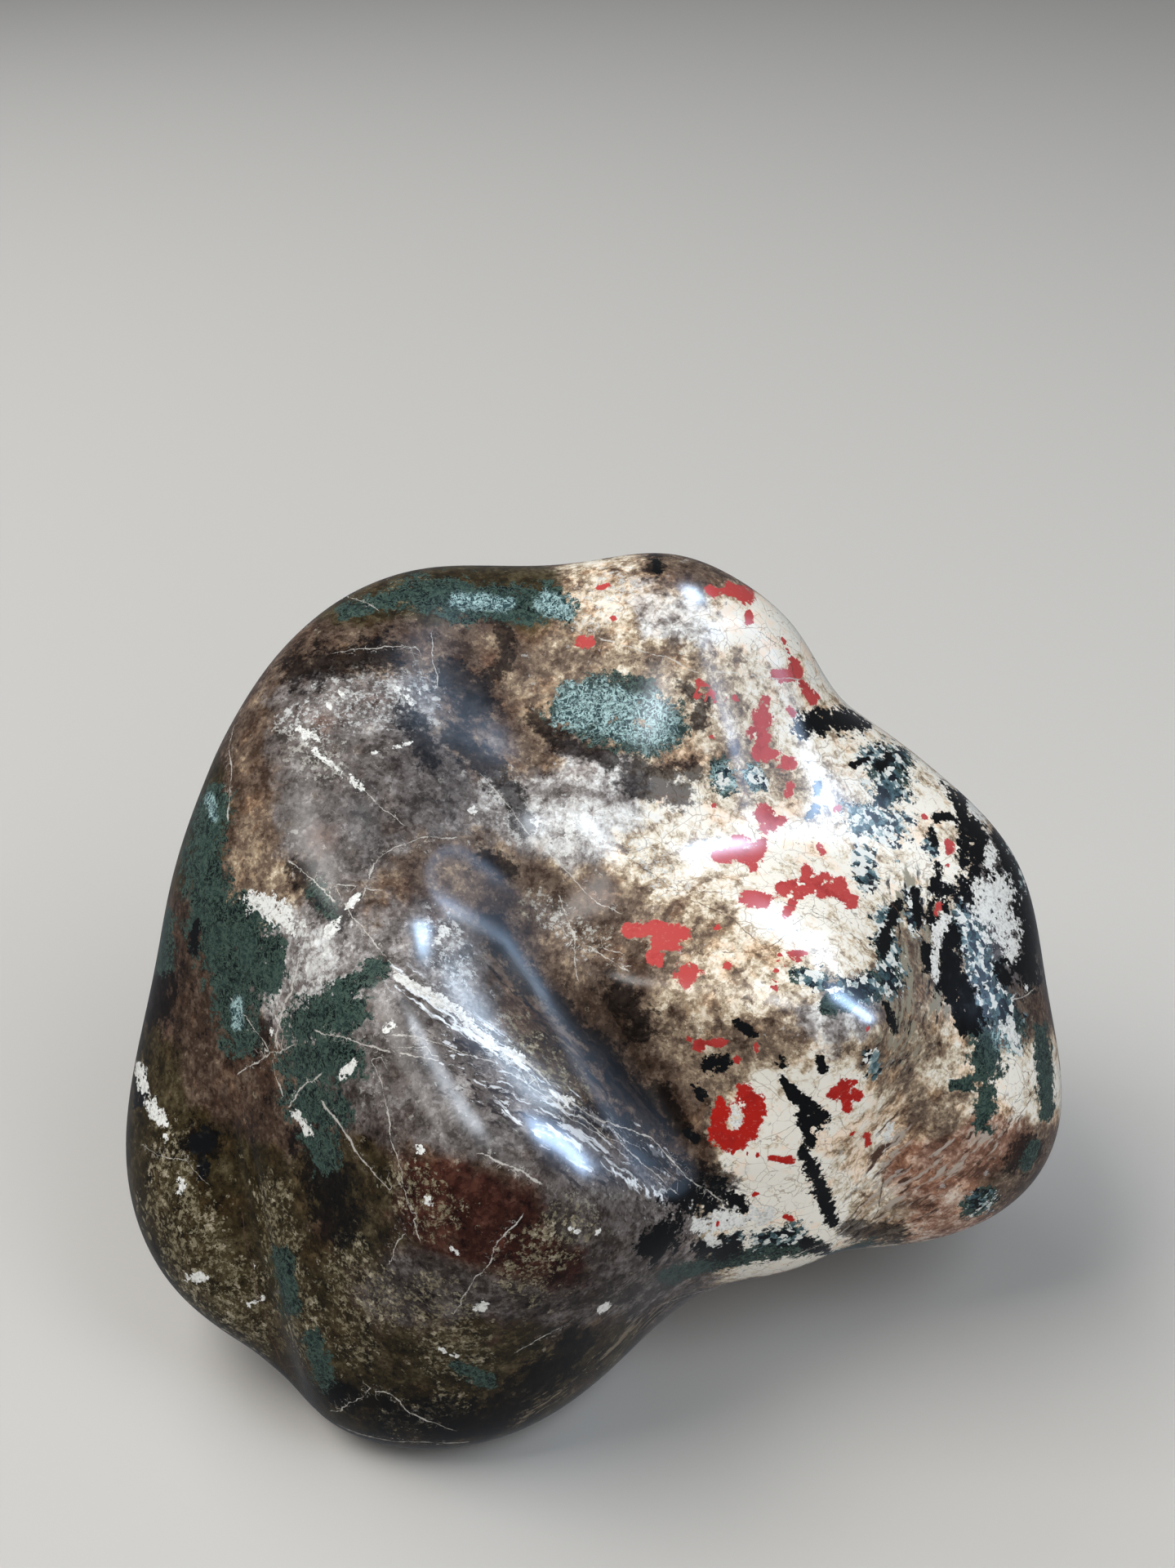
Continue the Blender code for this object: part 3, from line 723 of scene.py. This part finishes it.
def paint_ground(skin):
    """Stores how pale the ground is, and each family's share of it."""
    strokes = []
    for family, spots in GROUND.items():
        strokes += [(family, paleness, photo_stroke(skin, 1, line)) for paleness, line in spots]
    for family, spots in HIDDEN_GROUND.items():
        for paleness, line in spots:
            placed = np.array([skin.nearest(point)[0] for point in line])
            strokes.append((family, paleness, Stroke(1, placed)))
    total = np.full(len(skin.points), TINY)
    pale = total * PLAIN_PALENESS
    shares = {name: np.zeros(len(skin.points)) for name in ("cool", "olive", "maroon", "pink")}
    for family, paleness, stroke in strokes:
        weight = 1 / (1 + (skin.distances(stroke) / GROUND_REACH_MM) ** 2) ** 3
        total += weight
        pale += weight * paleness
        if family in shares:
            shares[family] += weight
    skin.store("pale", pale / total)
    for name, share in shares.items():
        skin.store(name, share / total)


def paint_lines(skin, name, strokes):
    """Stores the side distance to the nearest thin line, the plain distance to it, and its half width."""
    nearest = np.full(len(skin.points), np.inf)
    side = np.zeros(len(skin.points))
    width = np.zeros(len(skin.points))
    for stroke in strokes:
        distance, offsets, spans = line_offsets(skin.points, stroke.line)
        across = np.einsum("ij,ij->i", offsets, np.cross(skin.normals, spans))
        nearer = distance < nearest
        nearest[nearer] = distance[nearer]
        side[nearer] = across[nearer]
        width[nearer] = stroke.radius
    skin.store(name + "_side", side)
    skin.store(name + "_distance", nearest)
    skin.store(name + "_width", width)


def paint_marks(skin):
    """Stores every mark's field on the stone. The hidden sides get scattered marks of the same kinds."""
    scattered = scattered_strokes(skin)
    paint_ground(skin)
    for name, strokes in {**MARKS, **STREAKS}.items():
        placed = [photo_stroke(skin, *stroke) for stroke in strokes]
        paint_strokes(skin, name, placed + scattered.get(name, []))
    for name, dots in (("red_dot", RED_DOTS), ("white_dot", WHITE_DOTS)):
        paint_dots(skin, name, [photo_stroke(skin, radius, [(px, py)]) for px, py, radius in dots])
    for name, lines in (("vein_and_glint", VEINS_AND_EDGE_GLINTS), ("crack", CRACKS)):
        paint_lines(skin, name, [fine_line(skin, *line) for line in lines] + scattered[name])


# How much of a thin line's half width is solid
SOLID_SHARE = 0.3

# The mix node's sockets for two colours and their result. It has sockets of the same names for numbers.
COLOUR_INPUTS = (6, 7)
COLOUR_OUTPUT = 2


class Nodes:
    """Short names for the shader nodes used below."""

    def __init__(self, material):
        material.use_nodes = True
        self.tree = material.node_tree
        self.shader = self.tree.nodes["Principled BSDF"]

    def put(self, socket, value):
        """Links a socket to another one, or gives it a plain value."""
        if hasattr(value, "links"):
            self.tree.links.new(value, socket)
        else:
            socket.default_value = value

    def node(self, kind, **inputs):
        """A new node. An underscore in an input's name here stands for a space."""
        node = self.tree.nodes.new("ShaderNode" + kind)
        for name, value in inputs.items():
            self.put(node.inputs[name.replace("_", " ")], value)
        return node

    def attribute(self, name):
        node = self.node("Attribute")
        node.attribute_name = name
        return node.outputs

    def field(self, name):
        return self.attribute(name)["Fac"]

    def vector_field(self, name):
        return self.attribute(name)["Vector"]

    def math(self, operation, a, b=0.0, c=0.0):
        node = self.node("Math")
        node.operation = operation
        for socket, value in zip(node.inputs, (a, b, c)):
            self.put(socket, value)
        return node.outputs[0]

    def plus(self, base, amount, value):
        """base + amount * value."""
        return self.math("MULTIPLY_ADD", value, amount, base)

    def times(self, a, b):
        return self.math("MULTIPLY", a, b)

    def most(self, a, b):
        return self.math("MAXIMUM", a, b)

    def vector(self, operation, a, b=None, scale=None):
        node = self.node("VectorMath")
        node.operation = operation
        self.put(node.inputs[0], a)
        if b is not None:
            self.put(node.inputs[1], b)
        if scale is not None:
            self.put(node.inputs["Scale"], scale)
        return node.outputs["Value" if operation in ("DOT_PRODUCT", "LENGTH") else "Vector"]

    def channels(self, colour):
        """A random colour's three channels, each from -1 to 1."""
        split = self.node("SeparateColor", Color=colour)
        return [self.plus(-1.0, 2.0, channel) for channel in split.outputs]

    def noise(self, place, per_mm, detail=3.0, roughness=0.55, distortion=0.0):
        """Three independent noises, each about -1 to 1, with that many features to a millimetre."""
        node = self.node("TexNoise", Vector=place, Scale=per_mm, Detail=detail)
        self.put(node.inputs["Roughness"], roughness)
        self.put(node.inputs["Distortion"], distortion)
        return self.channels(node.outputs["Color"])

    def noise_vector(self, place, per_mm, detail, amount):
        """A random shift of up to about half the amount each way."""
        node = self.node("TexNoise", Vector=place, Scale=per_mm, Detail=detail)
        centred = self.vector("SUBTRACT", node.outputs["Color"], (0.5, 0.5, 0.5))
        return self.vector("SCALE", centred, scale=amount * 2)

    def cells(self, place, per_mm):
        """A random value from -1 to 1 for each grain of a broken-up ground."""
        return self.channels(self.node("TexVoronoi", Vector=place, Scale=per_mm).outputs["Color"])[0]

    def cell_lines(self, place, per_mm, half_width):
        """1 along the borders of the grains."""
        node = self.node("TexVoronoi", Vector=place, Scale=per_mm)
        node.feature = "DISTANCE_TO_EDGE"
        return self.step(node.outputs["Distance"], half_width * per_mm, half_width * per_mm * SOLID_SHARE)

    def step(self, value, low, high):
        """0 below low, 1 above high and smooth between; low may be above high, and then it falls."""
        node = self.node("MapRange", Value=value, From_Min=min(low, high), From_Max=max(low, high))
        node.interpolation_type = "SMOOTHSTEP"
        if low > high:
            self.put(node.inputs["To Min"], 1.0)
            self.put(node.inputs["To Max"], 0.0)
        return node.outputs["Result"]

    def ridge(self, value, width):
        """1 where a noise crosses zero, which is along thin curving lines."""
        return self.step(self.math("ABSOLUTE", value), width, width * SOLID_SHARE)

    def mix(self, share, a, b, blend="MIX"):
        """Colour a with this share of colour b over it."""
        node = self.node("Mix")
        node.data_type = "RGBA"
        node.blend_type = blend
        self.put(node.inputs["Factor"], share)
        for place, colour in zip(COLOUR_INPUTS, (a, b)):
            self.put(node.inputs[place], colour if hasattr(colour, "links") else (*colour, 1.0))
        return node.outputs[COLOUR_OUTPUT]

    def ramp(self, value, tones, colours):
        """The colour that stands at a tone, blended from the nearest two."""
        node = self.node("ValToRGB", Fac=value)
        elements = node.color_ramp.elements
        while len(elements) < len(tones):
            elements.new(0.5)
        for element, tone, colour in zip(elements, tones, colours):
            element.position = tone
            element.color = (*colour, 1.0)
        return node.outputs["Color"]


class Patterns(Nodes):
    """The noises that several marks share, in millimetres on the stone, and the marks' masks.

    In the functions that use them, a plain number beside a noise is its share, and a step's two numbers are
    the levels at which a mask begins and is full.
    """

    def __init__(self, material):
        super().__init__(material)
        coordinates = self.node("TexCoord")
        self.place = self.vector("SCALE", coordinates.outputs["Object"], scale=1 / MM)
        self.curl = self.shaken(self.place, 0.42, 3.0, 0.75)
        self.broad = self.noise(self.place, 0.075, 4.0, 0.55)
        self.mottle = self.noise(self.curl, 0.23, 7.0, 0.66)
        self.middle = self.noise(self.curl, 0.60, 5.0, 0.66)
        self.fine = self.noise(self.place, 1.6, 3.0, 0.70)
        self.ragged = self.noise(self.place, 0.36, 7.0, 0.74)
        self.crumbs = self.noise(self.place, 1.1, 4.0, 0.72)
        self.fibres = self.noise(self.curl, 0.95, 2.0, 0.5, 0.6)
        flaked = self.shaken(self.place, 2.2, 3.0, 0.55)
        self.flakes = self.cells(flaked, 1.7)
        self.chips = self.cells(flaked, 1.05)
        self.pale = self.field("pale")
        self.lively = self.step(self.pale, 0.34, 0.70)

    def shaken(self, place, per_mm, detail, amount):
        """A place with a random shift added to it."""
        return self.vector("ADD", place, self.noise_vector(self.place, per_mm, detail, amount))

    def edge(self, name, wander_share, fray_share, channel, crispness=0.07, grow=0.0):
        """A mark's mask, with an edge as ragged as the two shares of its radius say."""
        shifted = self.plus(self.field(name), wander_share, self.ragged[channel])
        shifted = self.plus(shifted, fray_share, self.crumbs[channel])
        return self.step(self.math("ADD", shifted, grow), -crispness, crispness)

    def patch(self, name):
        """The soft mask of a zone in which small things are denser."""
        return self.step(self.plus(self.field(name), 1.2, self.middle[1]), -0.3, 0.5)

    def dots(self, name, amount):
        """The mask of small dots, each with a ragged edge."""
        offset = self.shaken(self.vector_field(name + "_offset"), 1.6, 2.0, amount)
        share = self.math("DIVIDE", self.vector("LENGTH", offset), self.field(name + "_radius"))
        return self.times(self.step(share, 1.08, 0.92), self.step(self.field(name + "_distance"), 1.9, 1.5))


def ground(n):
    """The mottled ground. A tone picks the colour in each family, and each family has its share."""
    tone = n.plus(n.pale, 0.15, n.step(n.pale, 0.45, 0.75))
    tone = n.plus(tone, n.plus(0.46, 0.30, n.lively), n.mottle[0])
    tone = n.plus(tone, n.plus(0.20, 0.26, n.lively), n.middle[0])
    tone = n.plus(tone, 0.085, n.flakes)
    tone = n.plus(tone, 0.10, n.fine[0])
    tone = n.plus(tone, 0.10, n.broad[0])
    facets = n.cells(n.shaken(n.curl, 0.9, 3.0, 0.6), 0.46)
    tone = n.plus(tone, n.plus(0.03, 0.08, n.lively), facets)
    colour = n.ramp(tone, TONES, GROUND_COLOURS["warm"])
    noises = {"cool": n.mottle[1], "olive": n.mottle[2], "maroon": n.mottle[1], "pink": n.broad[2]}
    for family, noise in noises.items():
        share = n.step(n.plus(n.field(family), 1.1, noise), 0.22, 0.78)
        colour = n.mix(share, colour, n.ramp(tone, TONES, GROUND_COLOURS[family]))
    rusty = n.step(n.plus(n.mottle[2], 0.7, n.broad[1]), 0.02, 0.34)
    rusty = n.times(rusty, n.plus(0.55, -0.40, n.field("cool")))
    return n.mix(rusty, colour, RUST, "MULTIPLY")


def specks(n, colour):
    """Fine threads and bits, whiter where the ground isn't dark, and dark pits."""
    speckled = n.patch("speckle")
    frosted = n.step(n.pale, 0.24, 0.40)
    wisps = n.noise(n.curl, 0.60, 2.0, 0.5, 0.9)
    threads = n.most(n.ridge(wisps[0], 0.20), n.ridge(wisps[2], 0.15))
    threads = n.times(threads, n.step(n.crumbs[1], -0.05, 0.16))
    threads = n.times(threads, n.step(n.plus(n.ragged[1], 0.55, speckled), 0.28, 0.50))
    colour = n.mix(n.times(threads, 0.75), colour, n.mix(frosted, THREAD, FROSTED_THREAD))
    bits = n.plus(n.plus(n.chips, 0.80, n.ragged[0]), 0.20, speckled)
    bits = n.times(n.step(bits, 1.05, 1.09), n.plus(0.45, 0.35, speckled))
    bit_tint = n.mix(n.step(n.fine[2], -0.2, 0.3), WORN_BIT, BIT)
    colour = n.mix(bits, colour, n.mix(frosted, bit_tint, FROSTED_BIT))
    pits = n.step(n.plus(n.crumbs[0], 0.7, n.ragged[2]), 0.27, 0.40)
    return n.mix(n.times(pits, 0.75), colour, PIT, "MULTIPLY")


def webs(n, colour):
    """Nets of fine brown lines in the pale ground."""
    lines = n.most(n.cell_lines(n.curl, 0.13, 0.09), n.cell_lines(n.curl, 0.34, 0.055))
    lines = n.times(n.times(lines, n.step(n.mottle[1], -0.30, 0.05)), n.lively)
    return n.mix(n.times(lines, 0.7), colour, WEB, "MULTIPLY")


def streaks(n, skin, colour):
    """Each streaked zone, its dark streaks under its light ones, drawn out along the zone's direction."""
    for name, light, dark, low, high, per_mm, stretch in STREAK_LOOKS:
        line = STREAKS[name][0][1]
        first, last = skin.on_stone(*line[0]), skin.on_stone(*line[-1])
        along = tuple((last - first) / np.linalg.norm(last - first))
        reach = n.times(n.vector("DOT_PRODUCT", n.curl, along), stretch)
        drawn = n.vector("SUBTRACT", n.curl, n.vector("SCALE", along, scale=reach))
        grain = n.noise(drawn, per_mm, 4.0, 0.62)
        zone = n.step(n.plus(n.field(name), 1.0, n.ragged[0]), -0.35, 0.35)
        colour = n.mix(n.times(zone, n.step(grain[1], 0.06, 0.26)), colour, dark)
        lighter = n.plus(grain[0], 0.22, n.step(n.field(name), 0.0, 1.0))
        colour = n.mix(n.times(zone, n.step(lighter, low, high)), colour, light)
    return colour


def moss(n, colour):
    """Teal moss, a net of fibres on a dark ground, and the mosaic of black, teal and white grains."""
    pale_moss = n.patch("pale_moss")
    strands = [n.ridge(fibre, width) for fibre, width in zip(n.fibres, (0.10, 0.09, 0.07))]
    strand = n.most(strands[0], n.most(strands[1], strands[2]))
    strand = n.times(strand, n.step(n.crumbs[0], -0.35, 0.15))
    dark = n.mix(n.step(n.mottle[2], -0.2, 0.25), MOSS_SHADE, MOSS_GROUND)
    dark = n.mix(n.times(pale_moss, 0.6), dark, PALE_MOSS_GROUND)
    teal = n.mix(strand, dark, n.mix(pale_moss, MOSS_STRAND, PALE_MOSS_STRAND))
    colour = n.mix(n.edge("teal", 1.9, 1.2, 0, 0.14, 0.12), colour, teal)
    shard = n.plus(n.cells(n.shaken(n.curl, 1.4, 2.0, 0.5), 0.95), 0.9, n.middle[0])
    tone = n.plus(0.5, 0.5, n.plus(shard, 0.4, pale_moss))
    return n.mix(n.edge("mosaic", 2.6, 1.8, 2), colour, n.ramp(tone, MOSAIC_TONES, MOSAIC_COLOURS))


def whites(n, colour):
    """White quartz spots, and a painted highlight in the right fold, with flakes missing here and there."""
    white = n.most(n.edge("white", 2.4, 1.6, 2, 0.09, 0.02), n.dots("white_dot", 1.1))
    white = n.times(white, n.step(n.plus(n.flakes, 0.6, n.fine[0]), -0.95, -0.85))
    return n.mix(white, colour, n.mix(n.step(n.fine[1], -0.1, 0.35), QUARTZ_AND_GLINT, GREY_QUARTZ))


def reds(n, colour):
    """Scarlet spots with a thin pale rim. The higher ones are coral."""
    rim = n.times(n.edge("red", 1.8, 1.2, 1, 0.25, 0.30), n.step(n.middle[1], -0.1, 0.2))
    colour = n.mix(n.times(rim, 0.5), colour, RED_RIM)
    height = n.node("SeparateXYZ", Vector=n.place).outputs["Z"]
    scarlet = n.mix(n.step(height, *CORAL_HEIGHTS), SCARLET, CORAL)
    scarlet = n.mix(n.times(n.step(n.mottle[0], 0.0, 0.3), 0.5), scarlet, DARK_RED)
    scarlet = n.mix(n.times(n.step(n.fine[2], 0.15, 0.4), 0.35), scarlet, PALE_RED)
    return n.mix(n.most(n.edge("red", 1.7, 0.9, 0, 0.08, 0.10), n.dots("red_dot", 0.6)), colour, scarlet)


def fine_lines(n, colour):
    """Brown cracks, white veins and painted edge highlights, which wobble, swell and fray."""
    wobble = n.plus(n.times(n.crumbs[2], 0.40), 2.4, n.broad[2])
    for name, tint, strength in (("crack", CRACK_BROWN, 0.85), ("vein_and_glint", VEIN_AND_GLINT_WHITE, 0.80)):
        distance = n.field(name + "_distance")
        side = n.math("ABSOLUTE", n.math("ADD", n.field(name + "_side"), wobble))
        width = n.times(n.field(name + "_width"), n.plus(0.48, 2.4, n.ragged[1]))
        line = n.step(n.math("SUBTRACT", width, side), -0.05, 0.05)
        frayed = n.times(n.ridge(n.fibres[1], 0.06), n.step(distance, 1.5, 0.6))
        frayed = n.times(frayed, n.times(n.step(n.crumbs[1], 0.0, 0.2), 0.7))
        line = n.times(n.most(line, frayed), n.step(distance, 2.4, 1.6))
        colour = n.mix(n.times(line, strength), colour, tint)
    return colour


def jasper(skin):
    """The polished jasper: a mottled ground, its marks one over the other, and a glassy polish."""
    material = bpy.data.materials.new("jasper")
    n = Patterns(material)
    colour = webs(n, specks(n, ground(n)))
    colour = streaks(n, skin, colour)
    # Dark stains and painted shade, multiplied over the colour
    colour = n.mix(n.edge("shade", 2.4, 1.2, 2, 0.35), colour, STAIN_AND_SHADE, "MULTIPLY")
    colour = moss(n, colour)
    black = n.edge("black", 2.2, 1.4, 1)
    colour = n.mix(black, colour, n.mix(n.step(n.middle[0], 0.1, 0.5), JET, WORN_JET))
    colour = fine_lines(n, reds(n, whites(n, colour)))
    n.put(n.shader.inputs["Base Color"], colour)
    roughness = n.plus(ROUGHNESS, DULL_ROUGHNESS, n.step(n.field("dull"), -0.2, 0.7))
    roughness = n.plus(roughness, BLACK_ROUGHNESS, black)
    n.put(n.shader.inputs["Roughness"], n.plus(roughness, UNEVEN_ROUGHNESS, n.middle[0]))
    n.put(n.shader.inputs["IOR"], STONE_IOR)
    n.put(n.shader.inputs["Specular IOR Level"], STONE_SPECULAR)
    return material


def add_lamp(name, place, target, size, power, tint, mirrored):
    """A rectangular lamp that points at its target."""
    lamp = bpy.data.lights.new(name, "AREA")
    lamp.shape = "RECTANGLE"
    lamp.size, lamp.size_y = size
    lamp.energy = power
    lamp.color = tint
    holder = bpy.data.objects.new(name, lamp)
    holder.location = place
    holder.rotation_euler = (Vector(target) - Vector(place)).to_track_quat("-Z", "Y").to_euler()
    holder.visible_camera = False
    holder.visible_glossy = mirrored
    holder.visible_diffuse = not mirrored
    bpy.context.scene.collection.objects.link(holder)


def add_floor():
    """A plain pale floor."""
    floor = bpy.data.meshes.new("floor")
    corners = [(FLOOR_REACH * x, FLOOR_REACH * y, 0) for x, y in ((-1, -1), (1, -1), (1, 1), (-1, 1))]
    floor.from_pydata(corners, [], [(0, 1, 2, 3)])
    holder = bpy.data.objects.new("floor", floor)
    holder.visible_glossy = False
    bpy.context.scene.collection.objects.link(holder)
    pale = bpy.data.materials.new("floor")
    pale.use_nodes = True
    shader = pale.node_tree.nodes["Principled BSDF"]
    shader.inputs["Base Color"].default_value = (*FLOOR_COLOUR, 1.0)
    shader.inputs["Roughness"].default_value = FLOOR_ROUGHNESS
    shader.inputs["Specular IOR Level"].default_value = 0.0
    floor.materials.append(pale)


def light_studio():
    """A pale floor under plain soft light, with a cool window above on the right."""
    add_floor()
    world = bpy.data.worlds.new("studio")
    world.use_nodes = True
    air = world.node_tree.nodes["Background"]
    air.inputs["Color"].default_value = (*AIR_COLOUR, 1.0)
    air.inputs["Strength"].default_value = AIR_STRENGTH
    bpy.context.scene.world = world
    for lamp in LAMPS:
        add_lamp(*lamp)


def place_camera():
    """The camera that took the photograph."""
    scene = bpy.context.scene
    camera = bpy.data.cameras.new("camera")
    camera.sensor_width = SENSOR_MM
    camera.lens = SENSOR_MM * FOCAL_PIXELS / PHOTO_HEIGHT
    camera.clip_start = CLIP_START
    holder = bpy.data.objects.new("camera", camera)
    right, up, forward = camera_axes()
    turn = Matrix((right, up, -forward)).transposed().to_4x4()
    holder.matrix_world = Matrix.Translation(CAMERA_PLACE) @ turn
    scene.collection.objects.link(holder)
    scene.camera = holder


def main():
    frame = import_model()
    node = frame["nodes"]["jasper_stone"]
    skin = Skin(node)
    paint_marks(skin)
    skin.object.data.materials.clear()
    skin.object.data.materials.append(jasper(skin))
    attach(skin.object, "root")
    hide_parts("jasper_stone")
    light_studio()
    place_camera()
    bpy.context.scene.view_settings.view_transform = "Standard"


main()
